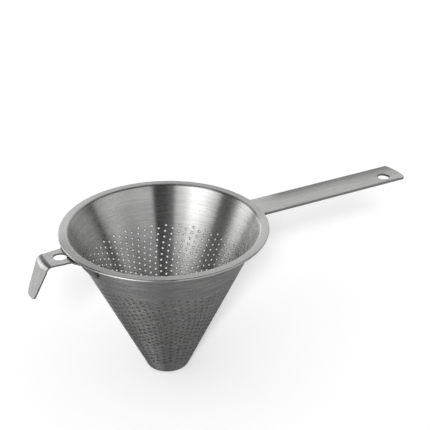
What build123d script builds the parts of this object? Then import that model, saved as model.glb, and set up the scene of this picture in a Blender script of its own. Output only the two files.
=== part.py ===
from build123d import *
from math import atan2, cos, degrees, radians, sin, tan
import os

# Conical strainer of stainless sheet, in millimetres.
# The origin is on the cone's axis in the plane of the rim's top face. +Z is up, and the handle points along +X.

# Sheet bowl
sheet_thickness = 0.8
rim_radius = 75.0
rim_width = 5.8
hem_thickness = 1.8
hem_width = 4.2
depth = 115.0
base_radius = 15.4
base_corner_radius = 2.4
rim_bend_radius = 1.6

# Strainer holes: a staggered grid of square openings stands for the fine round ones. Both distances run along the
# wall, from the rim's top face to the first ring and from the base's underside to the last ring. The lower, sparse
# rings have half as many holes.
hole_size = 3.0
hole_columns = 16
hole_full_rings = 6
hole_sparse_rings = 4
hole_rim_distance = 32.5
hole_base_distance = 14.0

# Seats of both straps: how far they lie under the rim's top face, and the gap that the weld nuggets fill
strap_drop = 3.0
weld_gap = 0.2

# Handle: its length is from the rim to the tip, and its hole's distance is from the tip.
handle_thickness = 1.9
handle_width = 23.7
handle_length = 131.8
handle_flat_length = 5.0
handle_dish_length = 24.0
handle_dish_depth = 2.3
handle_nose_length = 5.3
handle_hole_diameter = 9.6
handle_hole_distance = 15.6
handle_foot_width = 44.0
handle_foot_depth = 18.0
handle_foot_bend_radius = 2.0
handle_foot_corner_radius = 5.0

# Hook: the length of its level plate and its hole's distance are from the rim.
hook_thickness = 1.2
hook_root_width = 21.4
hook_bend_width = 19.4
hook_tip_width = 12.0
hook_plate_length = 13.8
hook_bend_radius = 5.0
hook_angle = 68.4
hook_tongue_length = 22.3
hook_corner_radius = 3.4
hook_hole_diameter = 9.4
hook_hole_distance = 4.0
hook_foot_width = 41.0
hook_foot_depth = 16.5
hook_foot_bend_radius = 2.0
hook_foot_corner_radius = 4.0

# Spot welds, two rows of two on each foot
weld_diameter = 4.5
weld_sides = 6
weld_spread_share = 0.42
weld_row_shares = (0.5, 0.8)
weld_clearance = 0.02

# One overrun serves every cut.
overrun = 5.0

# Bends of round pieces are made of short straight steps.
bend_steps = 2
hem_steps = 4

# Slope of the cone wall from the axis, and the turn of the sheet from the wall to a level face
mouth_radius = rim_radius - rim_width
wall_angle = degrees(atan2(mouth_radius - base_radius, depth))
wall_turn = 90 - wall_angle
wall_sin = sin(radians(wall_angle))
wall_cos = cos(radians(wall_angle))
half_turn_tan = tan(radians(wall_turn / 2))

# Side views run outward from the axis, and plans are seen from above, on the handle's side and on the hook's side.
handle_side = Plane.XZ
handle_plan = Plane.XY
hook_side = Plane(origin=(0, 0, 0), x_dir=(-1, 0, 0), z_dir=(0, 1, 0))
hook_plan = Plane(origin=(0, 0, 0), x_dir=(-1, 0, 0), z_dir=(0, 0, 1))
front_view = Plane.YZ


def wall_radius(level, outward=0):
    """Radius at a level of the cone's outer face, moved outward at right angles to the wall."""
    return mouth_radius + level * tan(radians(wall_angle)) + outward / wall_cos


def bend_corners(centre, radius, first, turn, steps):
    """Corners of a bend's straight steps, whose middles touch the true arc."""
    corner_radius = radius / cos(radians(turn / steps / 2))
    angles = [radians(first + turn * (step + 0.5) / steps) for step in range(steps)]
    return [(centre[0] + corner_radius * cos(a), centre[1] + corner_radius * sin(a)) for a in angles]


def foot_face(thickness, bend_radius, foot_depth, plate_end):
    """Side-view corners of a strap's upper face, which comes in level and bends down along the cone wall."""
    outer_radius = bend_radius + thickness
    bend_out = wall_radius(-strap_drop, weld_gap) + outer_radius * half_turn_tan
    bend_centre = (bend_out, -strap_drop - outer_radius)
    low = -foot_depth - thickness
    return [
        (plate_end, -strap_drop),
        *bend_corners(bend_centre, outer_radius, 90, wall_turn, bend_steps),
        (wall_radius(low, weld_gap), low),
    ]


def foot_front(width, foot_depth, corner_radius):
    """Front view of a foot and the strap above it, with rounded lower corners."""
    with Locations((0, -foot_depth / 2)):
        Rectangle(width, foot_depth)
    fillet(vertices().group_by(Axis.Y)[0], corner_radius)


def foot_plan(foot_width, strap_width):
    """Corners, seen from above, of a foot that narrows to its strap's width under the rim."""
    throat = wall_radius(-strap_drop)
    side = [(0, foot_width / 2), (throat, foot_width / 2), (rim_radius, strap_width / 2)]
    return side + [(x, -y) for x, y in reversed(side)]


def weld_places(foot_width, foot_depth):
    """Front-view places of a foot's spot welds."""
    across = foot_width * weld_spread_share / 2
    return [(side * across, -share * foot_depth) for side in (-1, 1) for share in weld_row_shares]


def gap_section(foot_depth):
    """Side-view corners of the gap between the cone wall and a foot."""
    near = weld_clearance
    far = weld_gap - weld_clearance
    return [
        (wall_radius(0, near), 0),
        (wall_radius(0, far), 0),
        (wall_radius(-foot_depth, far), -foot_depth),
        (wall_radius(-foot_depth, near), -foot_depth),
    ]


# Bowl: the sheet's inner and upper face runs from the base's centre up the cone and round the hem.
floor_level = sheet_thickness - depth
floor_radius = base_corner_radius - sheet_thickness
floor_edge = wall_radius(floor_level, -sheet_thickness) - floor_radius * half_turn_tan
rim_bend_outer = rim_bend_radius + sheet_thickness
rim_bend_edge = wall_radius(0, -sheet_thickness) + rim_bend_outer * half_turn_tan
hem_radius = hem_thickness / 2
hem_centre = (rim_radius - hem_radius, -hem_radius)
hole_rings = hole_full_rings + hole_sparse_rings
hole_top_level = -hole_rim_distance * wall_cos
hole_low_level = hole_base_distance * wall_cos - depth
hole_ring_drop = (hole_top_level - hole_low_level) / (hole_rings - 1)
with BuildPart() as sieve_bowl:
    with BuildSketch(handle_side):
        with BuildLine():
            Polyline(
                (0, floor_level),
                *bend_corners((floor_edge, floor_level + floor_radius), floor_radius, -90, wall_turn, bend_steps),
                *bend_corners((rim_bend_edge, -rim_bend_outer), rim_bend_outer, 90 + wall_turn, -wall_turn, bend_steps),
                *bend_corners(hem_centre, hem_radius, 90, -180, hem_steps),
                (rim_radius - hem_width, -hem_thickness),
            )
            offset(amount=sheet_thickness, side=Side.RIGHT, kind=Kind.INTERSECTION)
        make_face()
    revolve(axis=Axis.Z)
    for ring in range(hole_rings):
        level = hole_top_level - ring * hole_ring_drop
        radius = wall_radius(level)
        columns = hole_columns if ring < hole_full_rings else hole_columns // 2
        hole_arc = degrees(hole_size / radius)
        stagger = ring % 2 * 180 / columns
        with BuildSketch(handle_side):
            with Locations(Location((radius, level, 0), (0, 0, -wall_angle))):
                Rectangle(2 * overrun, hole_size)
        punch = revolve(axis=Axis.Z, revolution_arc=hole_arc, mode=Mode.PRIVATE)
        with PolarLocations(0, columns, start_angle=stagger - hole_arc / 2):
            add(punch, mode=Mode.SUBTRACT)
sieve_bowl.part.label = "sieve_bowl"

# Handle: the foot and the level root are turned about the bowl's axis and trimmed, then the dished arm is added.
handle_flat_end = rim_radius + handle_flat_length
handle_dish_end = handle_flat_end + handle_dish_length
handle_tip = rim_radius + handle_length
handle_tip_corner = handle_tip - handle_nose_length
with BuildPart() as handle:
    with BuildSketch(handle_side):
        with BuildLine():
            Polyline(*foot_face(handle_thickness, handle_foot_bend_radius, handle_foot_depth, handle_flat_end))
            offset(amount=handle_thickness, side=Side.LEFT, kind=Kind.INTERSECTION)
        make_face()
    revolve(axis=Axis.Z)
    with BuildSketch(handle_plan):
        with BuildLine():
            Polyline(*foot_plan(handle_foot_width, handle_width), close=True)
        make_face()
    extrude(amount=-2 * handle_foot_depth, mode=Mode.INTERSECT)
    with BuildSketch(front_view):
        foot_front(handle_foot_width, handle_foot_depth, handle_foot_corner_radius)
    extrude(amount=rim_radius, mode=Mode.INTERSECT)
    with BuildSketch(handle_plan.offset(-strap_drop)):
        with Locations((rim_radius, 0)):
            Rectangle(handle_flat_end - rim_radius, handle_width, align=(Align.MIN, Align.CENTER))
    extrude(amount=-handle_thickness)
    with BuildSketch(front_view.offset(handle_flat_end)):
        with Locations((0, -strap_drop)):
            Rectangle(handle_width, handle_thickness, align=(Align.CENTER, Align.MAX))
    with BuildSketch(front_view.offset(handle_dish_end)) as dished_section:
        with BuildLine():
            top = -strap_drop
            low = top - handle_thickness
            half = handle_width / 2
            ThreePointArc((-half, top), (0, top - handle_dish_depth), (half, top))
            Line((half, top), (half, low))
            ThreePointArc((half, low), (0, low - handle_dish_depth), (-half, low))
            Line((-half, low), (-half, top))
        make_face()
    loft()
    extrude(dished_section.sketch, amount=handle_tip - handle_dish_end)
    with BuildSketch(handle_plan):
        with BuildLine():
            ThreePointArc((handle_tip_corner, -half), (handle_tip, 0), (handle_tip_corner, half))
            Line((handle_tip_corner, half), (0, half + handle_foot_width))
            Line((0, half + handle_foot_width), (0, -half - handle_foot_width))
            Line((0, -half - handle_foot_width), (handle_tip_corner, -half))
        make_face()
    extrude(amount=-2 * handle_foot_depth, mode=Mode.INTERSECT)
    with BuildSketch(handle_plan):
        with Locations((handle_tip - handle_hole_distance, 0)):
            Circle(handle_hole_diameter / 2)
    extrude(amount=-2 * handle_foot_depth, mode=Mode.SUBTRACT)
handle.part.label = "handle"

# Hook: foot and level root as on the handle, then the tapered plate, its bend and the tongue
bend_middle = hook_bend_radius + hook_thickness / 2
hook_level = -strap_drop - hook_thickness / 2
hook_bend_start = rim_radius + hook_plate_length
bend_out = bend_middle * sin(radians(hook_angle))
bend_down = bend_middle * (1 - cos(radians(hook_angle)))
tongue_dir = (-cos(radians(hook_angle)), 0, -sin(radians(hook_angle)))
tongue_top = (-hook_bend_start - bend_out, 0, hook_level - bend_down)
tongue_plane = Plane(origin=tongue_top, x_dir=tongue_dir, z_dir=(-sin(radians(hook_angle)), 0, cos(radians(hook_angle))))
with BuildPart() as hook:
    with BuildSketch(hook_side):
        with BuildLine():
            Polyline(*foot_face(hook_thickness, hook_foot_bend_radius, hook_foot_depth, rim_radius + overrun))
            offset(amount=hook_thickness, side=Side.LEFT, kind=Kind.INTERSECTION)
        make_face()
    revolve(axis=Axis.Z)
    with BuildSketch(hook_plan):
        with BuildLine():
            Polyline(*foot_plan(hook_foot_width, hook_root_width), close=True)
        make_face()
    extrude(amount=-2 * hook_foot_depth, mode=Mode.INTERSECT)
    with BuildSketch(front_view):
        foot_front(hook_foot_width, hook_foot_depth, hook_foot_corner_radius)
    extrude(amount=-rim_radius, mode=Mode.INTERSECT)
    with BuildSketch(hook_plan.offset(hook_level)):
        with BuildLine():
            Polyline(
                (rim_radius, -hook_root_width / 2),
                (hook_bend_start, -hook_bend_width / 2),
                (hook_bend_start, hook_bend_width / 2),
                (rim_radius, hook_root_width / 2),
                close=True,
            )
        make_face()
    extrude(amount=hook_thickness / 2, both=True)
    with BuildSketch(hook_side):
        with BuildLine():
            JernArc((hook_bend_start, hook_level), (1, 0), bend_middle, -hook_angle)
        trace(line_width=hook_thickness)
    extrude(amount=hook_bend_width / 2, both=True)
    with BuildSketch(tongue_plane):
        with BuildLine():
            Polyline(
                (0, -hook_bend_width / 2),
                (hook_tongue_length, -hook_tip_width / 2),
                (hook_tongue_length, hook_tip_width / 2),
                (0, hook_bend_width / 2),
                close=True,
            )
        make_face()
        fillet(vertices().group_by(Axis.X)[-1], hook_corner_radius)
    extrude(amount=hook_thickness / 2, both=True)
    with BuildSketch(hook_plan):
        with Locations((rim_radius + hook_hole_distance, 0)):
            Circle(hook_hole_diameter / 2)
    extrude(amount=-2 * hook_foot_depth, mode=Mode.SUBTRACT)
hook.part.label = "hook"

# Weld nuggets: discs that fill the gap between the cone wall and each foot
with BuildPart() as handle_spot_welds:
    with BuildSketch(front_view):
        with Locations(weld_places(handle_foot_width, handle_foot_depth)):
            RegularPolygon(weld_diameter / 2, weld_sides)
    extrude(amount=rim_radius)
    with BuildSketch(handle_side):
        with BuildLine():
            Polyline(*gap_section(handle_foot_depth), close=True)
        make_face()
    revolve(axis=Axis.Z, mode=Mode.INTERSECT)
handle_spot_welds.part.label = "handle_spot_welds"

with BuildPart() as hook_spot_welds:
    with BuildSketch(front_view):
        with Locations(weld_places(hook_foot_width, hook_foot_depth)):
            RegularPolygon(weld_diameter / 2, weld_sides)
    extrude(amount=-rim_radius)
    with BuildSketch(hook_side):
        with BuildLine():
            Polyline(*gap_section(hook_foot_depth), close=True)
        make_face()
    revolve(axis=Axis.Z, mode=Mode.INTERSECT)
hook_spot_welds.part.label = "hook_spot_welds"

# One STEP file for each piece
os.makedirs("parts", exist_ok=True)
export_step(sieve_bowl.part, "parts/sieve_bowl.step")
export_step(handle.part, "parts/handle.step")
export_step(handle_spot_welds.part, "parts/handle_spot_welds.step")
export_step(hook.part, "parts/hook.step")
export_step(hook_spot_welds.part, "parts/hook_spot_welds.step")
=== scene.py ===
from math import asin, atan2, ceil, cos, degrees, pi, radians, sin, tan

import bmesh
import bpy
from mathutils import Matrix, Vector
from mathutils.geometry import tessellate_polygon


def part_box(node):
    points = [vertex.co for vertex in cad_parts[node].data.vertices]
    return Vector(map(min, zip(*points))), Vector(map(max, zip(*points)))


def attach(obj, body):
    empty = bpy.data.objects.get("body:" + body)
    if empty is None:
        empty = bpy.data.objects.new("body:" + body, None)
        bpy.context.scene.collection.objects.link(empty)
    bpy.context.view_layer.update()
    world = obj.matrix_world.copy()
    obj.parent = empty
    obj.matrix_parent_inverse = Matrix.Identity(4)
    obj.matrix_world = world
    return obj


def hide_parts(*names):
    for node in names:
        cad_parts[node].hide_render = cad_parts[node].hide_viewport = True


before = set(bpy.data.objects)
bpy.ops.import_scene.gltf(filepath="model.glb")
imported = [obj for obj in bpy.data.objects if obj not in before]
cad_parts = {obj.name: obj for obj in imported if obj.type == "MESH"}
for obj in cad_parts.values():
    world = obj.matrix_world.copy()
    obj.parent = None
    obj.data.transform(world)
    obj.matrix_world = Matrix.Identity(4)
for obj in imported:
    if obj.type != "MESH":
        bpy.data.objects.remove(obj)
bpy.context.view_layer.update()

bowl_low, bowl_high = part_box("sieve_bowl")
handle_low, handle_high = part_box("handle")

mm = 0.001

# Bowl sheet
sheet_thickness = 0.8 * mm
rim_radius = bowl_high.x
depth = -bowl_low.z
rim_width = 5.8 * mm
hem_thickness = 1.8 * mm
hem_width = 4.2 * mm
base_radius = 15.4 * mm
base_corner_radius = 2.4 * mm
rim_bend_radius = 1.6 * mm
cut_edge_radius = 0.25 * mm
wall_angle = atan2(rim_radius - rim_width - base_radius, depth)
wall_turn = pi / 2 - wall_angle

# Steps of the bowl's mesh, round the axis and along the bends of its section, and rows of its plain band
steps_round = 192
rim_top_steps = 10
rim_under_steps = 8
hem_outside_steps = 14
hem_inside_steps = 8
cut_edge_steps = 3
base_inside_steps = 6
base_outside_steps = 8
plain_band_shares = (0.25, 0.5, 0.75)

# Punched holes: slant distances run down the inner face of the wall from the rim's top plane.
hole_diameter = 1.6 * mm
hole_edge_width = 0.26 * mm
hole_edge_depth = 0.10 * mm
hole_columns = 32
hole_ring_pitch = 2.2 * mm
hole_first_ring = 31.3 * mm
hole_rings = 38
hole_full_rings = 26
hole_first_angle = radians(63.05)
hole_lean = radians(0.45)
hole_leaning_rings = 14

# Places of the bowl's finishes in its list of materials; the lips of the holes carry painted shade
plain_finish, lip_painted_shade, bore_finish = 0, 1, 2

# Straps: both lie under the rim, on feet that follow the cone wall.
strap_drop = 3.0 * mm
weld_gap = 0.2 * mm
strap_edge_radius = 0.3 * mm
strap_edge_steps = 3
strap_hole_steps = 48
foot_corner_steps = 6
foot_spacing = 3.0 * mm
foot_bend_spacing = 0.5 * mm
crosswise_spacing = 1.5 * mm

# Faces of a flat blank that look up or down by less than this share are its sheared edges.
cut_edge_share = 0.8

handle_thickness = 1.9 * mm
handle_width = 23.7 * mm
handle_tip = handle_high.x
handle_nose_length = 5.3 * mm
handle_nose_steps = 24
handle_flat_end = rim_radius + 5.0 * mm
handle_dish_end = handle_flat_end + 24.0 * mm
handle_dish_depth = 2.3 * mm
handle_dish_spacing = 2.0 * mm
handle_plain_spacing = 6.0 * mm
handle_hole_radius = 4.8 * mm
handle_hole_place = handle_tip - 15.6 * mm
handle_foot_width = 44.0 * mm
handle_foot_depth = -handle_low.z
handle_foot_bend_radius = 2.0 * mm
handle_foot_corner_radius = 5.0 * mm

hook_thickness = 1.2 * mm
hook_root_width = 21.4 * mm
hook_bend_width = 19.4 * mm
hook_tip_width = 12.0 * mm
hook_bend_start = rim_radius + 13.8 * mm
hook_bend_radius = 5.0 * mm
hook_bend_turn = radians(68.4)
hook_bend_spacing = 0.3 * mm
hook_plain_spacing = 3.0 * mm
hook_tongue_length = 22.3 * mm
hook_corner_radius = 3.4 * mm
hook_corner_steps = 8
hook_crown = 1.2 * mm
hook_hole_radius = 4.7 * mm
hook_hole_place = rim_radius + 4.0 * mm
hook_foot_width = 41.0 * mm
hook_foot_depth = 16.5 * mm
hook_foot_bend_radius = 2.0 * mm
hook_foot_corner_radius = 4.0 * mm

# Blanks: turns that tell flat faces and sharp edges, distances that count as none, and a round edge's shape
flat_turn = radians(1)
sharp_turn = 1.0
cut_tolerance = 1e-6
level_tolerance = 1e-7
round_profile = 0.5

# Painted shade: a dark line painted into the steel where the rim turns down into the cone, by the sum of
# radius and level
bend_shade_middle = 67.6 * mm
bend_shade_width = 2.2 * mm
bend_shade_tone = 0.68

# Camera: the picture is square, and the strainer's origin lies at a known pixel of it.
picture_side = 430
sensor_width = 36.0
focal_pixels = 1125.33
camera_depth = 0.8
camera_reach = (0.01, 50)
camera_elevation = radians(27.65)
camera_roll = radians(0.39)
handle_turn = radians(28.08)
origin_pixel = (163.88, 226.46)

# Steel: brush lines lie round the bowl and along the straps, with grain cells in each radian or metre.
bowl_metal = (0.63, 0.63, 0.625)
strap_metal = (0.62, 0.62, 0.615)
bowl_roughness = 0.27
strap_roughness = 0.24
bowl_anisotropy = 1.0
strap_anisotropy = 0.85
anisotropic_rotation = 0.25
ring_grain_length = 2.4
ring_grain_lines = 1350.0
strap_grain_length = 45.0
strap_grain_lines = 1500.0

# Marks on the steel: change of tone, change of roughness, strength of smudges and haze, and height of lines
bowl_depths = (0.05, 0.03, 0.02, 0.006 * mm)
strap_depths = (0.06, 0.04, 0.03, 0.01 * mm)

# A scratch darkens the steel by this many times the change of tone of a line.
scratch_tone_factor = 2

# Brush lines: how much the grain is packed along and across the lines, octaves, and strength of the octaves
fine_lines = (1.3, 2.6, 1.0, 0.6)
plain_lines = (1.0, 1.0, 1.0, 0.55)
band_lines = (0.5, 0.16, 1.0, 0.5)
scratch_lines = (1.3, 1.1, 0.0, 0.5)

# Handling marks: cells in a metre, octaves, and strength of the octaves
smudge_cloud = (45.0, 3.0, 0.55)
haze_cloud = (190.0, 2.0, 0.5)

# Noise values from which and up to which each mark grows, and the span of a finished mask
noise_span = (0.3, 0.7)
scratch_span = (0.66, 0.78)
smudge_span = (0.45, 0.75)
haze_span = (0.35, 0.65)
mask_span = (0.0, 1.0)

# Rough metals: grain size, darkest and lightest colour, least and greatest roughness, and grain height
# Lips of the holes: nearly black, painted shade for the dark rings and dots of the holes, partly a real dull
# punched edge
hole_lip_shade_look = (0.3 * mm, (0.03, 0.03, 0.03), (0.12, 0.12, 0.115), (0.35, 0.55), 0.01 * mm)
punched_bore_look = (0.3 * mm, (0.50, 0.50, 0.49), (0.75, 0.75, 0.74), (0.3, 0.45), 0.01 * mm)
cut_edge_look = (0.6 * mm, (0.16, 0.16, 0.16), (0.34, 0.34, 0.33), (0.35, 0.5), 0.01 * mm)
weld_look = (1.1 * mm, (0.2, 0.17, 0.14), (0.45, 0.43, 0.4), (0.35, 0.6), 0.05 * mm)
grain_octaves = 3.0
grain_octave_strength = 0.6

# Studio walls: anticlockwise degrees from the camera's right, brightness, and sine of their top's elevation
full_turn = 360
new_stop_place = 0.5
studio_walls = [
    (0, 0.76, 0.48), (4, 0.66, 0.50), (8, 0.04, 0.55), (18, 0.08, 0.55), (24, 0.30, 0.55),
    (45, 0.50, 0.60), (62, 0.56, 0.72), (78, 0.70, 0.74), (90, 0.82, 0.72), (98, 0.82, 0.56),
    (106, 1.12, 0.32), (131, 1.85, 0.22), (135, 0.60, 0.32), (139, 0.60, 0.32), (143, 1.85, 0.46),
    (163, 1.45, 0.44), (170, 0.68, 0.44), (175, 0.17, 0.55), (186, 0.12, 0.55), (196, 0.14, 0.60),
    (199, 1.10, 0.65), (212, 1.85, 0.72), (222, 2.50, 0.74), (232, 2.85, 0.74), (242, 1.80, 0.70),
    (251, 1.25, 0.62), (256, 1.00, 0.58), (259, 0.25, 0.55), (270, 0.05, 0.55), (284, 0.04, 0.55),
    (288, 0.87, 0.60), (345, 0.72, 0.52),
]
wall_fade = 0.22
sky_brightness = 0.10
room_light = 0.66
backdrop_brightness = 1.0
white = (1, 1, 1, 1)

# Dark card over the brightest wall: bearing, elevation, and half its width and height, in degrees
dark_card = (228.0, 64.0, 19.0, 23.0)
dark_card_fade_start = 0.8
dark_card_tone = 0.15

# Front light: bearing, elevation and apparent width in degrees, and strength. The steel doesn't mirror it.
front_light = (267.0, 31.0, 12.0, 2.75)

# Floor: the steel mirrors it in painted shade, darker than the camera sees it: in its near tone, a painted
# shadow pool close to the strainer, and in its far tone further away.
floor_side = 12.0
floor_colour = (0.92, 0.92, 0.92, 1)
floor_near_mirrored_shade = 0.17
floor_far_mirrored_shade = 0.66
floor_near_radius = 0.16
floor_far_radius = 0.34


def view_axes():
    """Right, up and forward of the level camera, in the strainer's frame."""
    right = Vector((cos(handle_turn), -sin(handle_turn), 0))
    away = Vector((sin(handle_turn), cos(handle_turn), 0))
    up = away * sin(camera_elevation) + Vector((0, 0, cos(camera_elevation)))
    forward = away * cos(camera_elevation) - Vector((0, 0, sin(camera_elevation)))
    return right, up, forward


def place_camera():
    """Puts the camera where the strainer's origin falls on its known pixel."""
    right, up, forward = view_axes()
    middle = picture_side / 2
    across = (origin_pixel[0] - middle) / focal_pixels
    down = (origin_pixel[1] - middle) / focal_pixels
    level_across = across * cos(camera_roll) - down * sin(camera_roll)
    level_down = across * sin(camera_roll) + down * cos(camera_roll)
    location = -(forward + right * level_across - up * level_down) * camera_depth
    rolled_right = right * cos(camera_roll) - up * sin(camera_roll)
    rolled_up = right * sin(camera_roll) + up * cos(camera_roll)
    data = bpy.data.cameras.new("camera")
    data.sensor_width = sensor_width
    data.lens = focal_pixels / picture_side * sensor_width
    data.clip_start, data.clip_end = camera_reach
    camera = bpy.data.objects.new("camera", data)
    turn = Matrix((rolled_right, rolled_up, -forward)).transposed()
    camera.matrix_world = Matrix.Translation(location) @ turn.to_4x4()
    bpy.context.scene.collection.objects.link(camera)
    bpy.context.scene.camera = camera


class Mesh:
    """Points, faces, the finish of each face, and a shading normal for each of its corners."""

    def __init__(self):
        self.points = []
        self.faces = []
        self.normals = []
        self.finishes = []

    def add_point(self, point):
        self.points.append(point)
        return len(self.points) - 1

    def add_face(self, corners, normals, finish=plain_finish):
        self.faces.append(corners)
        self.normals.extend(normals)
        self.finishes.append(finish)

    def add_band(self, near, far, near_normals, far_normals, finish):
        """Skins the band between two closed loops of points."""
        for step in range(len(near)):
            after = (step + 1) % len(near)
            corners = (near[step], near[after], far[after], far[step])
            normals = [near_normals[step], near_normals[after], far_normals[after], far_normals[step]]
            self.add_face(corners, normals, finish)

    def finish(self, name):
        data = bpy.data.meshes.new(name)
        data.from_pydata(self.points, [], self.faces)
        data.polygons.foreach_set("use_smooth", [True] * len(self.faces))
        data.polygons.foreach_set("material_index", self.finishes)
        data.normals_split_custom_set(self.normals)
        data.update()
        made = bpy.data.objects.new(name, data)
        bpy.context.scene.collection.objects.link(made)
        return made


def turned(radius, level, angle):
    """Point or direction of the bowl's section, turned round the axis."""
    return (radius * cos(angle), radius * sin(angle), level)


def wall_radius(level, outward=0.0):
    """Radius at a level of the cone's outer face, moved outward at right angles to the wall."""
    return rim_radius - rim_width + level * tan(wall_angle) + outward / cos(wall_angle)


def wall_place(slant, outward):
    """Section point of the wall, at a slant distance down its inner face and a distance through the sheet."""
    radius = wall_radius(0, -sheet_thickness) - slant * sin(wall_angle) + outward * cos(wall_angle)
    return radius, -slant * cos(wall_angle) - outward * sin(wall_angle)


def face_direction(side):
    """Section direction that the wall's outer face looks in for side 1, and its inner face for side -1."""
    return side * cos(wall_angle), -side * sin(wall_angle)


def wall_normal(mesh, index, side):
    """Shading normal at a point of the wall's outer face for side 1, and of its inner face for side -1."""
    x, y, _ = mesh.points[index]
    return turned(*face_direction(side), atan2(y, x))


def arc_points(centre, radius, first, turn, steps):
    """Points along an arc of a section, each with the direction away from the arc's centre."""
    made = []
    for step in range(steps + 1):
        a = first + turn * step / steps
        out = (cos(a), sin(a))
        made.append(((centre[0] + radius * out[0], centre[1] + radius * out[1]), out))
    return made


def inward(section):
    """The same points with their directions turned round, for the hollow side of a bend."""
    return [(point, (-out[0], -out[1])) for point, out in section]


def bowl_upper_section(slant):
    """Section from the inner wall up over the rim and its hem and down to the outer wall."""
    inner, outer = face_direction(-1), face_direction(1)
    top_radius = rim_bend_radius + sheet_thickness
    bend_edge = wall_radius(0, -sheet_thickness) + top_radius * tan(wall_turn / 2)
    bend_centre = (bend_edge, -top_radius)
    hem_radius = hem_thickness / 2
    hem_centre = (rim_radius - hem_radius, -hem_radius)
    edge_centre = rim_radius - hem_width + cut_edge_radius
    low_centre = cut_edge_radius - hem_thickness
    high_centre = sheet_thickness - hem_thickness - cut_edge_radius
    made = [(wall_place(slant, 0), inner)]
    made += [(wall_place(slant * share, 0), inner) for share in reversed(plain_band_shares)]
    made += arc_points(bend_centre, top_radius, pi / 2 + wall_turn, -wall_turn, rim_top_steps)
    made += arc_points(hem_centre, hem_radius, pi / 2, -pi, hem_outside_steps)
    made += arc_points((edge_centre, low_centre), cut_edge_radius, -pi / 2, -pi / 2, cut_edge_steps)
    made += arc_points((edge_centre, high_centre), cut_edge_radius, pi, -pi / 2, cut_edge_steps)
    made += inward(arc_points(hem_centre, hem_radius - sheet_thickness, -pi / 2, pi, hem_inside_steps))
    made += inward(arc_points(bend_centre, rim_bend_radius, pi / 2, wall_turn, rim_under_steps))
    made += [(wall_place(slant * share, sheet_thickness), outer) for share in plain_band_shares]
    made += [(wall_place(slant, sheet_thickness), outer)]
    return made


def bowl_lower_sections(slant):
    """Sections of the inner and the outer face from the last ring of holes to the flat base."""
    floor_level = sheet_thickness - depth
    floor_radius = base_corner_radius - sheet_thickness
    floor_edge = wall_radius(floor_level, -sheet_thickness) - floor_radius * tan(wall_turn / 2)
    centre = (floor_edge, floor_level + floor_radius)
    inside = [(wall_place(slant, 0), face_direction(-1))]
    inside += inward(arc_points(centre, floor_radius, -wall_angle, -wall_turn, base_inside_steps))
    outside = [(wall_place(slant, sheet_thickness), face_direction(1))]
    outside += arc_points(centre, base_corner_radius, -wall_angle, -wall_turn, base_outside_steps)
    return inside, outside


def hole_twist(slant):
    """Turn of the hole columns at a slant distance: they lean a little, and then run straight down."""
    ring = (slant - hole_first_ring) / hole_ring_pitch
    return hole_first_angle + hole_lean * max(0.0, min(ring, hole_leaning_rings))


def add_revolved(mesh, section, twist, first_ring=None, last_ring=None):
    """Skins a section turned about the axis. Rings at its ends can be shared with what is there."""
    angles = [twist + 2 * pi * step / steps_round for step in range(steps_round)]
    rings = []
    for place, (point, _) in enumerate(section):
        if place == 0 and first_ring:
            rings.append(first_ring)
        elif place == len(section) - 1 and last_ring:
            rings.append(last_ring)
        else:
            rings.append([mesh.add_point(turned(*point, a)) for a in angles])
    for place in range(len(section) - 1):
        near, far = section[place][1], section[place + 1][1]
        upper, lower = rings[place], rings[place + 1]
        for step in range(steps_round):
            after = (step + 1) % steps_round
            a, b = angles[step], angles[after]
            corners = (upper[step], lower[step], lower[after], upper[after])
            mesh.add_face(corners, [turned(*near, a), turned(*far, a), turned(*far, b), turned(*near, b)])
    return rings


def add_hole_cell(mesh, upper, lower, first, width, slant):
    """One cell of the wall with its punched hole, through both faces of the sheet."""
    angle = hole_twist(slant) + 2 * pi * (first + width / 2) / steps_round
    centre_radius = wall_place(slant, 0)[0]
    into_bowl = Vector(turned(*face_direction(-1), angle))
    around = Vector((-sin(angle), cos(angle), 0))
    up = around.cross(into_bowl)
    columns = [(first + step) % steps_round for step in range(width + 1)]
    back = columns[::-1]
    inner_edge = [upper["inner"][c] for c in columns] + [lower["inner"][c] for c in back]
    outer_edge = [upper["outer"][c] for c in columns] + [lower["outer"][c] for c in back]
    count = len(inner_edge)
    turns = [2 * pi * (step + 0.5) / count for step in range(count)]
    rays = [(-cos(a), sin(a)) for a in turns]

    def circle(radius, through):
        places = [(angle + radius * side / centre_radius, slant - radius * lift) for side, lift in rays]
        return [mesh.add_point(turned(*wall_place(down, through), turn)) for turn, down in places]

    radius = hole_diameter / 2
    mouth = circle(radius + hole_edge_width, 0)
    throat = circle(radius, hole_edge_depth)
    far_throat = circle(radius, sheet_thickness - hole_edge_depth)
    outlet = circle(radius + hole_edge_width, sheet_thickness)
    to_axis = [-(around * side + up * lift) for side, lift in rays]
    lip = [(ray + into_bowl).normalized() for ray in to_axis]
    far_lip = [(ray - into_bowl).normalized() for ray in to_axis]
    for step in range(count):
        after = (step + 1) % count
        corners = (inner_edge[step], inner_edge[after], mouth[after], mouth[step])
        mesh.add_face(corners, [wall_normal(mesh, corner, -1) for corner in corners])
        corners = (outer_edge[after], outer_edge[step], outlet[step], outlet[after])
        mesh.add_face(corners, [wall_normal(mesh, corner, 1) for corner in corners])
    # The lips of each hole take the painted shade.
    mesh.add_band(mouth, throat, lip, lip, lip_painted_shade)
    mesh.add_band(throat, far_throat, to_axis, to_axis, bore_finish)
    mesh.add_band(far_throat, outlet, far_lip, far_lip, lip_painted_shade)


def wall_rings(mesh, slant):
    """Rings of points round the inner and the outer face of the wall at a slant distance."""
    angles = [hole_twist(slant) + 2 * pi * step / steps_round for step in range(steps_round)]
    inner, outer = wall_place(slant, 0), wall_place(slant, sheet_thickness)
    return {
        "inner": [mesh.add_point(turned(*inner, a)) for a in angles],
        "outer": [mesh.add_point(turned(*outer, a)) for a in angles],
    }


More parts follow.
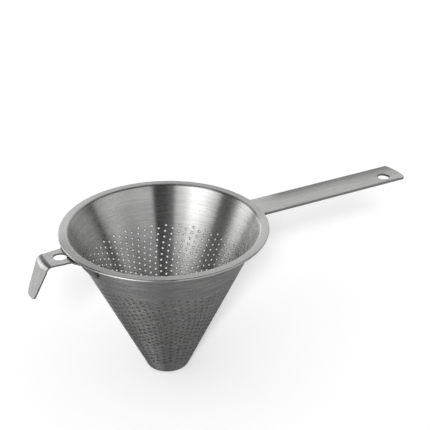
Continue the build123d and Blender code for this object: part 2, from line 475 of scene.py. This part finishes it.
def make_bowl():
    """Bowl of one spun sheet: rim and plain band, then ring after ring of holes, and the flat base."""
    mesh = Mesh()
    top = hole_first_ring - hole_ring_pitch / 2
    upper = wall_rings(mesh, top)
    add_revolved(mesh, bowl_upper_section(top), hole_twist(top), upper["inner"], upper["outer"])
    for ring in range(hole_rings):
        slant = hole_first_ring + ring * hole_ring_pitch
        lower = wall_rings(mesh, slant + hole_ring_pitch / 2)
        columns = hole_columns if ring < hole_full_rings else hole_columns // 2
        width = steps_round // columns
        shift = ring % 2 * width // 2 - width // 2
        for column in range(columns):
            add_hole_cell(mesh, upper, lower, column * width + shift, width, slant)
        upper = lower
    bottom = hole_first_ring + (hole_rings - 0.5) * hole_ring_pitch
    inside, outside = bowl_lower_sections(bottom)
    rings = add_revolved(mesh, inside[::-1], hole_twist(bottom), last_ring=upper["inner"])
    mesh.add_face(rings[0], [(0, 0, 1)] * steps_round)
    rings = add_revolved(mesh, outside, hole_twist(bottom), first_ring=upper["outer"])
    mesh.add_face(rings[-1][::-1], [(0, 0, -1)] * steps_round)
    bowl = mesh.finish("perforated_bowl")
    for steel in (bowl_steel, hole_lip_shade, punched_bore):
        bowl.data.materials.append(steel)
    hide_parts("sieve_bowl")
    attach(bowl, "root")


def eased(share):
    """Share from 0 to 1 that starts and ends gently."""
    return share * share * (3 - 2 * share)


def ramp(value, start, end):
    """Share of the way from a start to an end, held between 0 and 1."""
    return min(1.0, max(0.0, (value - start) / (end - start)))


class Strap:
    """A strap's flat blank, laid out along x from the bowl's axis, and the way that it is bent."""

    def __init__(self, thickness, foot_bend_radius, foot_depth):
        self.thickness = thickness
        self.level = -strap_drop - thickness / 2
        self.foot_middle = foot_bend_radius + thickness / 2
        outer_radius = foot_bend_radius + thickness
        self.foot_bend = wall_radius(-strap_drop, weld_gap) + outer_radius * tan(wall_turn / 2)
        arc_low = self.level - self.foot_middle * (1 - cos(wall_turn))
        foot_length = (arc_low + foot_depth) / cos(wall_angle)
        self.foot_start = self.foot_bend - self.foot_middle * wall_turn
        self.low_end = self.foot_start - foot_length
        self.outer_bend = None
        self.dish = None
        self.crown = None

    def middle(self, x):
        """Radius and level of the middle line at a place on the blank, and where its upper face looks."""
        if x < self.foot_bend:
            bend, radius, turn, side = self.foot_bend, self.foot_middle, wall_turn, -1
        elif self.outer_bend and x > self.outer_bend[0]:
            bend, radius, turn = self.outer_bend
            side = 1
        else:
            return x, self.level, (0, 1)
        along = side * (x - bend)
        angle = min(along / radius, turn)
        past = max(0, along - radius * turn)
        out = radius * sin(angle) + past * cos(turn)
        down = radius * (1 - cos(angle)) + past * sin(turn)
        return bend + side * out, self.level - down, (side * sin(angle), cos(angle))

    def formed(self, x, y, lift):
        """Place on the bent strap of a point of the blank, lifted from its middle plane."""
        radius, level, (out, up) = self.middle(x)
        wrap = 1 - ramp(x, self.foot_bend, rim_radius)
        sideways = asin(y / radius)
        across = radius + (radius * cos(sideways) - radius) * wrap
        if self.dish:
            start, end, dish_depth, width = self.dish
            level -= dish_depth * (1 - (2 * y / width) ** 2) * eased(ramp(x, start, end))
        if self.crown:
            start, end, drop, width = self.crown
            lift -= drop * (2 * y / width) ** 2 * ramp(x, start, end)
        turn = sideways * wrap
        return Vector((across + lift * out * cos(turn), y + lift * out * sin(turn), level + lift * up))


def fillet_points(before, corner, after, radius, steps):
    """Points of a corner rounded between the sides that come from one point and go to another."""
    before, corner, after = Vector(before), Vector(corner), Vector(after)
    back = (before - corner).normalized()
    onward = (after - corner).normalized()
    half = back.angle(onward) / 2
    centre = corner + (back + onward).normalized() * radius / sin(half)
    first = corner + back * radius / tan(half) - centre
    last = corner + onward * radius / tan(half) - centre
    mixed = [first.lerp(last, step / steps) for step in range(steps + 1)]
    return [tuple(centre + spoke.normalized() * radius) for spoke in mixed]


def nose_points(tip, nose_length, width, steps):
    """Points of the arc across a strap's end, from one side to the middle."""
    half = width / 2
    radius = (half * half + nose_length * nose_length) / (2 * nose_length)
    reach = asin(half / radius)
    angles = [reach * (1 - 2 * step / steps) for step in range(steps // 2 + 1)]
    return [(tip - radius + radius * cos(a), radius * sin(a)) for a in angles]


def circle_points(x, radius, steps):
    turns = [2 * pi * step / steps for step in range(steps)]
    return [(x + radius * cos(a), radius * sin(a)) for a in turns]


def cut_blank(strap, outline, hole, cuts):
    """Flat blank of the strap's thickness with its hole, cut into strips both ways, with rounded edges."""
    bm = bmesh.new()
    loops = [[Vector((x, y, 0)) for x, y in loop] for loop in (outline, hole)]
    points = [bm.verts.new(point) for loop in loops for point in loop]
    for corners in tessellate_polygon(loops):
        bm.faces.new([points[corner] for corner in corners])
    bmesh.ops.dissolve_limit(bm, angle_limit=flat_turn, verts=bm.verts[:], edges=bm.edges[:])
    for axis, places in zip((Vector((1, 0, 0)), Vector((0, 1, 0))), cuts):
        for place in places:
            every = bm.verts[:] + bm.edges[:] + bm.faces[:]
            bmesh.ops.bisect_plane(bm, geom=every, dist=cut_tolerance, plane_co=axis * place, plane_no=axis)
    bmesh.ops.recalc_face_normals(bm, faces=bm.faces[:])
    bmesh.ops.solidify(bm, geom=bm.faces[:], thickness=strap.thickness)
    middle = sum(v.co.z for v in bm.verts) / len(bm.verts)
    for vert in bm.verts:
        vert.co.z -= middle
    bm.normal_update()

    def round_over(edge):
        ends = edge.verts
        return edge.calc_face_angle(0) > sharp_turn and abs(ends[0].co.z - ends[1].co.z) < level_tolerance

    rims = [edge for edge in bm.edges if round_over(edge)]
    bmesh.ops.bevel(
        bm, geom=rims, offset=strap_edge_radius, offset_type="OFFSET",
        segments=strap_edge_steps, profile=round_profile, affect="EDGES",
    )
    bm.normal_update()
    return bm


def bend_blank(bm, strap, mirrored):
    """Notes each face's finish and its place on the blank, and bends the blank onto the bowl."""
    lengthwise = bm.loops.layers.uv.new("lengthwise")
    for face in bm.faces:
        face.smooth = True
        face.material_index = int(abs(face.normal.z) < cut_edge_share)
        for loop in face.loops:
            loop[lengthwise].uv = (loop.vert.co.x, loop.vert.co.y)
    for vert in bm.verts:
        place = strap.formed(vert.co.x, vert.co.y, vert.co.z)
        vert.co = Vector((-place.x, -place.y, place.z)) if mirrored else place
    bmesh.ops.recalc_face_normals(bm, faces=bm.faces[:])
    if bm.calc_volume(signed=True) < 0:
        bmesh.ops.reverse_faces(bm, faces=bm.faces[:])


def make_strap(name, node, strap, outline, hole, cuts, mirrored):
    """Makes a strap from its blank. A mirrored one lies on the hook's side of the bowl."""
    bm = cut_blank(strap, outline, hole, cuts)
    bend_blank(bm, strap, mirrored)
    data = bpy.data.meshes.new(name)
    bm.to_mesh(data)
    bm.free()
    made = bpy.data.objects.new(name, data)
    bpy.context.scene.collection.objects.link(made)
    weighted = made.modifiers.new("even shading", "WEIGHTED_NORMAL")
    weighted.keep_sharp = False
    made.data.materials.append(strap_steel)
    made.data.materials.append(cut_edge)
    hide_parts(node)
    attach(made, "root")


def even_places(first, last, spacing):
    count = max(1, ceil((last - first) / spacing))
    return [first + (last - first) * k / count for k in range(1, count)]


def foot_places(strap):
    """Lengthwise places of the cuts through a strap's foot and its bend."""
    made = even_places(strap.low_end, strap.foot_start, foot_spacing) + [strap.foot_start]
    return made + even_places(strap.foot_start, strap.foot_bend, foot_bend_spacing) + [strap.foot_bend]


def strap_outline(strap, foot_width, corner_radius, strap_width, past_rim):
    """Outline of a blank: one half runs from its low end to its tip, and its mirror image closes it."""
    low, half = strap.low_end, foot_width / 2
    side = fillet_points((low, 0), (low, half), (strap.foot_bend, half), corner_radius, foot_corner_steps)
    side += [(strap.foot_bend, half), (rim_radius, strap_width / 2)]
    upper = side + past_rim
    return upper + [(x, -y) for x, y in reversed(upper) if y]


def make_handle():
    strap = Strap(handle_thickness, handle_foot_bend_radius, handle_foot_depth)
    strap.dish = (handle_flat_end, handle_dish_end, handle_dish_depth, handle_width)
    nose = nose_points(handle_tip, handle_nose_length, handle_width, handle_nose_steps)
    outline = strap_outline(strap, handle_foot_width, handle_foot_corner_radius, handle_width, nose)
    hole = circle_points(handle_hole_place, handle_hole_radius, strap_hole_steps)
    lengthwise = foot_places(strap)
    lengthwise += even_places(strap.foot_bend, handle_dish_end, handle_dish_spacing)
    lengthwise += even_places(handle_dish_end, handle_tip, handle_plain_spacing)
    sideways = even_places(-handle_foot_width / 2, handle_foot_width / 2, crosswise_spacing)
    make_strap("strap_handle", "handle", strap, outline, hole, (lengthwise, sideways), False)


def make_hook():
    strap = Strap(hook_thickness, hook_foot_bend_radius, hook_foot_depth)
    bend_radius = hook_bend_radius + hook_thickness / 2
    strap.outer_bend = (hook_bend_start, bend_radius, hook_bend_turn)
    tongue_start = hook_bend_start + bend_radius * hook_bend_turn
    tip = tongue_start + hook_tongue_length
    strap.crown = (hook_bend_start, tongue_start, hook_crown, hook_bend_width)
    half = hook_bend_width / 2
    corner = (tip, hook_tip_width / 2)
    past_rim = [(hook_bend_start, half), (tongue_start, half)]
    past_rim += fillet_points(past_rim[-1], corner, (tip, 0), hook_corner_radius, hook_corner_steps)
    outline = strap_outline(strap, hook_foot_width, hook_foot_corner_radius, hook_root_width, past_rim)
    hole = circle_points(hook_hole_place, hook_hole_radius, strap_hole_steps)
    lengthwise = foot_places(strap)
    lengthwise += even_places(strap.foot_bend, hook_bend_start, hook_plain_spacing) + [hook_bend_start]
    lengthwise += even_places(hook_bend_start, tongue_start, hook_bend_spacing) + [tongue_start]
    lengthwise += even_places(tongue_start, tip, hook_plain_spacing)
    sideways = even_places(-hook_foot_width / 2, hook_foot_width / 2, crosswise_spacing)
    make_strap("rest_hook", "hook", strap, outline, hole, (lengthwise, sideways), True)


def join(tree, value, socket):
    """Links a node's output to a socket, or sets the socket to a plain value."""
    if isinstance(value, bpy.types.NodeSocket):
        tree.links.new(value, socket)
    else:
        socket.default_value = value


def add_math(tree, operation, *values):
    node = tree.nodes.new("ShaderNodeMath")
    node.operation = operation
    for socket, value in zip(node.inputs, values):
        join(tree, value, socket)
    return node.outputs[0]


def add_product(tree, values):
    made = values[0]
    for value in values[1:]:
        made = add_math(tree, "MULTIPLY", made, value)
    return made


def add_range(tree, value, old, new, kind="LINEAR"):
    """Maps a value from an old range to a new one."""
    node = tree.nodes.new("ShaderNodeMapRange")
    node.interpolation_type = kind
    for socket, part in zip(node.inputs, (value, *old, *new)):
        join(tree, part, socket)
    return node.outputs[0]


def add_mix(tree, share, first, second, kind="FLOAT"):
    """Mixes two values or colours. A share of 0 gives the first one."""
    node = tree.nodes.new("ShaderNodeMix")
    node.data_type = kind
    for label, value in (("Factor", share), ("A", first), ("B", second)):
        join(tree, value, node.inputs[label])
    return node.outputs["Result"]


def add_noise(tree, place, scale, octaves, octave_strength):
    node = tree.nodes.new("ShaderNodeTexNoise")
    parts = (("Vector", place), ("Scale", scale), ("Detail", octaves), ("Roughness", octave_strength))
    for label, value in parts:
        join(tree, value, node.inputs[label])
    return node.outputs[0]


def add_bump(tree, height, distance):
    node = tree.nodes.new("ShaderNodeBump")
    node.inputs["Distance"].default_value = distance
    join(tree, height, node.inputs["Height"])
    return node.outputs[0]


def split_axes(tree, place):
    node = tree.nodes.new("ShaderNodeSeparateXYZ")
    join(tree, place, node.inputs[0])
    return node.outputs


def join_axes(tree, *parts):
    node = tree.nodes.new("ShaderNodeCombineXYZ")
    for part, socket in zip(parts, node.inputs):
        join(tree, part, socket)
    return node.outputs[0]


def shared_group(name, inputs, outputs, fill):
    """Shader node group, made once and then shared. Each input has a label and a kind."""
    if name not in bpy.data.node_groups:
        group = bpy.data.node_groups.new(name, "ShaderNodeTree")
        for label, kind in inputs:
            group.interface.new_socket(label, in_out="INPUT", socket_type=kind)
        for label in outputs:
            group.interface.new_socket(label, in_out="OUTPUT", socket_type="NodeSocketFloat")
        source, sink = group.nodes.new("NodeGroupInput"), group.nodes.new("NodeGroupOutput")
        for socket, value in zip(sink.inputs, fill(group, *source.outputs[:len(inputs)])):
            join(group, value, socket)
    return bpy.data.node_groups[name]


def use_group(tree, group, *values):
    node = tree.nodes.new("ShaderNodeGroup")
    node.node_tree = group
    for socket, value in zip(node.inputs, values):
        join(tree, value, socket)
    return node.outputs


def brush_lines(tree, place):
    """Brush lines of three widths, and sparse scratches. The third axis of the place crosses the lines."""
    made = []
    for along, across, octaves, octave_strength in (fine_lines, plain_lines, band_lines, scratch_lines):
        node = tree.nodes.new("ShaderNodeVectorMath")
        node.operation = "MULTIPLY"
        join(tree, place, node.inputs[0])
        node.inputs[1].default_value = (along, along, across)
        made.append(add_noise(tree, node.outputs[0], 1.0, octaves, octave_strength))
    fine, lines, bands, sparse = made
    return fine, lines, bands, add_range(tree, sparse, scratch_span, mask_span)


def handling_marks(tree, place):
    """Faint cloudy smudges, and patches of finer haze."""
    smudge = add_range(tree, add_noise(tree, place, *smudge_cloud), smudge_span, mask_span)
    haze = add_range(tree, add_noise(tree, place, *haze_cloud), haze_span, mask_span)
    return smudge, haze


def metal_grain(tree, place, cells):
    """Coarse grain of rough metal, by the number of its cells in a metre."""
    return (add_noise(tree, place, cells, grain_octaves, grain_octave_strength),)


def object_place(tree):
    return tree.nodes.new("ShaderNodeTexCoord").outputs["Object"]


def round_axes(tree):
    """The object's three axes, and the distance from the bowl's axis."""
    x, y, z = split_axes(tree, object_place(tree))
    squares = add_math(tree, "MULTIPLY_ADD", x, x, add_math(tree, "MULTIPLY", y, y))
    return x, y, z, add_math(tree, "SQRT", squares)


def ring_place(tree):
    """Lays the grain out in circles: two axes run round the bowl, and the third crosses the lines."""
    x, y, z, radius = round_axes(tree)
    round_parts = []
    for part in (x, y):
        share = add_math(tree, "DIVIDE", part, radius)
        round_parts.append(add_math(tree, "MULTIPLY", share, ring_grain_length))
    off = add_math(tree, "SUBTRACT", radius, z)
    return join_axes(tree, *round_parts, add_math(tree, "MULTIPLY", off, ring_grain_lines))


def strap_place(tree):
    """Lays the grain out along a strap: the third axis crosses the lines."""
    node = tree.nodes.new("ShaderNodeUVMap")
    node.uv_map = "lengthwise"
    along, across, _ = split_axes(tree, node.outputs[0])
    along = add_math(tree, "MULTIPLY", along, strap_grain_length)
    return join_axes(tree, along, 0.0, add_math(tree, "MULTIPLY", across, strap_grain_lines))


def painted_bend_shade(tree):
    """Painted shade: tone that darkens the steel along the line where the rim turns down into the cone."""
    _, _, z, radius = round_axes(tree)
    place = add_math(tree, "ADD", radius, z)
    off = add_math(tree, "ABSOLUTE", add_math(tree, "SUBTRACT", place, bend_shade_middle))
    line = add_range(tree, off, (0.0, bend_shade_width / 2), (bend_shade_tone, 1.0), "SMOOTHSTEP")
    below = add_range(tree, z, (-2 * bend_shade_width, -bend_shade_width), (1.0, 0.0))
    return add_math(tree, "MAXIMUM", line, below)


def add_tangent(tree, along_strap):
    """Direction of the brush lines: along a strap, or round the bowl."""
    node = tree.nodes.new("ShaderNodeTangent")
    if along_strap:
        node.direction_type = "UV_MAP"
        node.uv_map = "lengthwise"
    else:
        node.direction_type = "RADIAL"
        node.axis = "Z"
    return node.outputs[0]


def metal_material(name):
    """New material of bare metal, with its node tree and its shader."""
    material = bpy.data.materials.new(name)
    material.use_nodes = True
    shader = material.node_tree.nodes["Principled BSDF"]
    shader.inputs["Metallic"].default_value = 1.0
    return material, material.node_tree, shader


def brushed_steel(name, metal, roughness, anisotropy, along_strap, depths):
    """Brushed stainless steel, whose reflections spread across the brush lines."""
    material, tree, shader = metal_material(name)
    shader.inputs["Anisotropic"].default_value = anisotropy
    shader.inputs["Anisotropic Rotation"].default_value = anisotropic_rotation
    join(tree, add_tangent(tree, along_strap), shader.inputs["Tangent"])
    place_input = [("Place", "NodeSocketVector")]
    line_labels = ("Fine", "Lines", "Bands", "Scratch")
    lines_group = shared_group("brush lines", place_input, line_labels, brush_lines)
    marks_group = shared_group("handling marks", place_input, ("Smudge", "Haze"), handling_marks)
    place = strap_place(tree) if along_strap else ring_place(tree)
    fine, lines, bands, scratch = use_group(tree, lines_group, place)
    smudge, haze = use_group(tree, marks_group, object_place(tree))
    tone_depth, rough_depth, mark_depth, line_height = depths
    swing = (1 - tone_depth, 1 + tone_depth)
    tones = [add_range(tree, mark, noise_span, swing) for mark in (lines, fine, bands)]
    tones.append(add_range(tree, scratch, mask_span, (1.0, 1 - scratch_tone_factor * tone_depth)))
    tones.append(add_range(tree, haze, mask_span, (1.0, 1 - mark_depth)))
    if not along_strap:
        # Painted shade along the rim's inner bend darkens the bowl's colour here.
        tones.append(painted_bend_shade(tree))
    colour = tree.nodes.new("ShaderNodeVectorMath")
    colour.operation = "SCALE"
    colour.inputs[0].default_value = metal
    join(tree, add_product(tree, tones), colour.inputs["Scale"])
    join(tree, colour.outputs[0], shader.inputs["Base Color"])
    rough = add_range(tree, lines, noise_span, (roughness - rough_depth, roughness + rough_depth))
    dulled = add_math(tree, "MULTIPLY", smudge, mark_depth * roughness)
    join(tree, add_math(tree, "ADD", rough, dulled), shader.inputs["Roughness"])
    height = add_math(tree, "ADD", fine, lines)
    join(tree, add_bump(tree, height, line_height), shader.inputs["Normal"])
    return material


def rough_metal(name, grain_size, dark, light, roughness, grain_height):
    """Dull grainy metal, for the welds, the holes and the sheared edges of the straps."""
    material, tree, shader = metal_material(name)
    inputs = [("Place", "NodeSocketVector"), ("Cells", "NodeSocketFloat")]
    group = shared_group("metal grain", inputs, ("Grain",), metal_grain)
    grain = use_group(tree, group, object_place(tree), 1 / grain_size)[0]
    tint = tree.nodes.new("ShaderNodeValToRGB")
    for stop, colour in zip(tint.color_ramp.elements, (dark, light)):
        stop.color = (*colour, 1)
    join(tree, grain, tint.inputs[0])
    join(tree, tint.outputs[0], shader.inputs["Base Color"])
    join(tree, add_range(tree, grain, noise_span, roughness), shader.inputs["Roughness"])
    join(tree, add_bump(tree, grain, grain_height), shader.inputs["Normal"])
    return material


def make_floor():
    """Matt pale floor under the base, which the steel mirrors in darker tones of painted shade, with a
    painted shadow pool close to the strainer.
    """
    data = bpy.data.meshes.new("floor")
    half = floor_side / 2
    corners = [(-half, -half, -depth), (half, -half, -depth), (half, half, -depth), (-half, half, -depth)]
    data.from_pydata(corners, [], [(0, 1, 2, 3)])
    floor = bpy.data.objects.new("floor", data)
    bpy.context.scene.collection.objects.link(floor)
    material = bpy.data.materials.new("pale floor")
    material.use_nodes = True
    tree = material.node_tree
    tree.nodes.remove(tree.nodes["Principled BSDF"])
    path = tree.nodes.new("ShaderNodeLightPath")
    far = tree.nodes.new("ShaderNodeVectorMath")
    far.operation = "LENGTH"
    join(tree, object_place(tree), far.inputs[0])
    # Painted shade: glossy rays see the floor darker, darkest in a pool round the strainer.
    radii = (floor_near_radius, floor_far_radius)
    mirrored = add_range(tree, far.outputs["Value"], radii, (floor_near_mirrored_shade, floor_far_mirrored_shade), "SMOOTHSTEP")
    colour = add_mix(tree, path.outputs["Is Glossy Ray"], floor_colour, mirrored, "RGBA")
    matt = tree.nodes.new("ShaderNodeBsdfDiffuse")
    join(tree, colour, matt.inputs["Color"])
    join(tree, matt.outputs[0], tree.nodes["Material Output"].inputs["Surface"])
    data.materials.append(material)


def wall_light(tree, turn_share):
    """Brightness of the studio walls in each direction round, and the sine of their top's elevation."""
    brightest = max(brightness for _, brightness, _ in studio_walls)
    node = tree.nodes.new("ShaderNodeValToRGB")
    stops = node.color_ramp.elements
    while len(stops) < len(studio_walls):
        stops.new(new_stop_place)
    for stop, (bearing, brightness, top) in zip(stops, studio_walls):
        stop.position = bearing / full_turn
        stop.color = (brightness / brightest, top, 0, 1)
    join(tree, turn_share, node.inputs[0])
    parts = tree.nodes.new("ShaderNodeSeparateColor")
    join(tree, node.outputs[0], parts.inputs[0])
    return add_math(tree, "MULTIPLY", parts.outputs[0], brightest), parts.outputs[1]


def card_tone(tree, turn_share, rise):
    """Tone of the dark card, and 1 outside it."""
    bearing, elevation, half_width, half_height = dark_card
    sides = ((turn_share, full_turn, bearing, half_width), (rise, degrees(1), elevation, half_height))
    off = []
    for value, unit, middle, half in sides:
        away = add_math(tree, "SUBTRACT", add_math(tree, "MULTIPLY", value, unit), middle)
        off.append(add_math(tree, "ABSOLUTE", add_math(tree, "DIVIDE", away, half)))
    reach = add_math(tree, "MAXIMUM", *off)
    return add_range(tree, reach, (dark_card_fade_start, 1.0), (dark_card_tone, 1.0))


def light_studio():
    """Studio that the steel mirrors: soft uneven walls and a dark card, under an even sky."""
    world = bpy.data.worlds.new("studio")
    world.use_nodes = True
    tree = world.node_tree
    x, y, z = split_axes(tree, tree.nodes.new("ShaderNodeTexCoord").outputs["Generated"])
    turn = add_math(tree, "ADD", add_math(tree, "ARCTAN2", y, x), handle_turn)
    turn_share = add_math(tree, "FRACT", add_math(tree, "DIVIDE", turn, 2 * pi))
    walls, top = wall_light(tree, turn_share)
    walls = add_math(tree, "MULTIPLY", walls, card_tone(tree, turn_share, add_math(tree, "ARCSINE", z)))
    above = add_math(tree, "SUBTRACT", z, top)
    sky_share = add_range(tree, above, (0.0, wall_fade), mask_span, "SMOOTHSTEP")
    mirrored = add_mix(tree, sky_share, walls, sky_brightness)
    # Matt surfaces get an even light, and the camera sees a plain white backdrop.
    path = tree.nodes.new("ShaderNodeLightPath")
    room = tree.nodes["Background"]
    room.inputs["Color"].default_value = white
    join(tree, add_mix(tree, path.outputs["Is Diffuse Ray"], mirrored, room_light), room.inputs["Strength"])
    backdrop = tree.nodes.new("ShaderNodeBackground")
    backdrop.inputs["Color"].default_value = white
    backdrop.inputs["Strength"].default_value = backdrop_brightness
    mix = tree.nodes.new("ShaderNodeMixShader")
    shown = (path.outputs["Is Camera Ray"], room.outputs[0], backdrop.outputs[0])
    for socket, value in zip(mix.inputs, shown):
        join(tree, value, socket)
    join(tree, mix.outputs[0], tree.nodes["World Output"].inputs["Surface"])
    bpy.context.scene.world = world


def add_front_light():
    """Soft light from the camera's side, whose shadow falls behind the strainer."""
    bearing, elevation, width, strength = front_light
    turn, rise = radians(bearing) - handle_turn, radians(elevation)
    data = bpy.data.lights.new("front light", "SUN")
    data.angle = radians(width)
    data.energy = strength
    light = bpy.data.objects.new("front light", data)
    light.rotation_mode = "QUATERNION"
    source = Vector((cos(turn) * cos(rise), sin(turn) * cos(rise), sin(rise)))
    light.rotation_quaternion = source.to_track_quat("Z", "Y")
    light.visible_glossy = False
    bpy.context.scene.collection.objects.link(light)


def dress_welds():
    for name in ("handle_spot_welds", "hook_spot_welds"):
        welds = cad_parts[name]
        welds.data.materials.clear()
        welds.data.materials.append(weld_metal)


bpy.context.scene.view_settings.view_transform = "Standard"
place_camera()
bowl_steel = brushed_steel(
    "ring brushed steel", bowl_metal, bowl_roughness, bowl_anisotropy, False, bowl_depths
)
strap_steel = brushed_steel("strap steel", strap_metal, strap_roughness, strap_anisotropy, True, strap_depths)
# Painted shade: dark metal on the hole lips, partly a real dull punched edge.
hole_lip_shade = rough_metal("punched edge painted dark", *hole_lip_shade_look)
punched_bore = rough_metal("punched bore", *punched_bore_look)
cut_edge = rough_metal("cut edge", *cut_edge_look)
weld_metal = rough_metal("weld metal", *weld_look)
make_bowl()
make_handle()
make_hook()
dress_welds()
make_floor()
light_studio()
add_front_light()
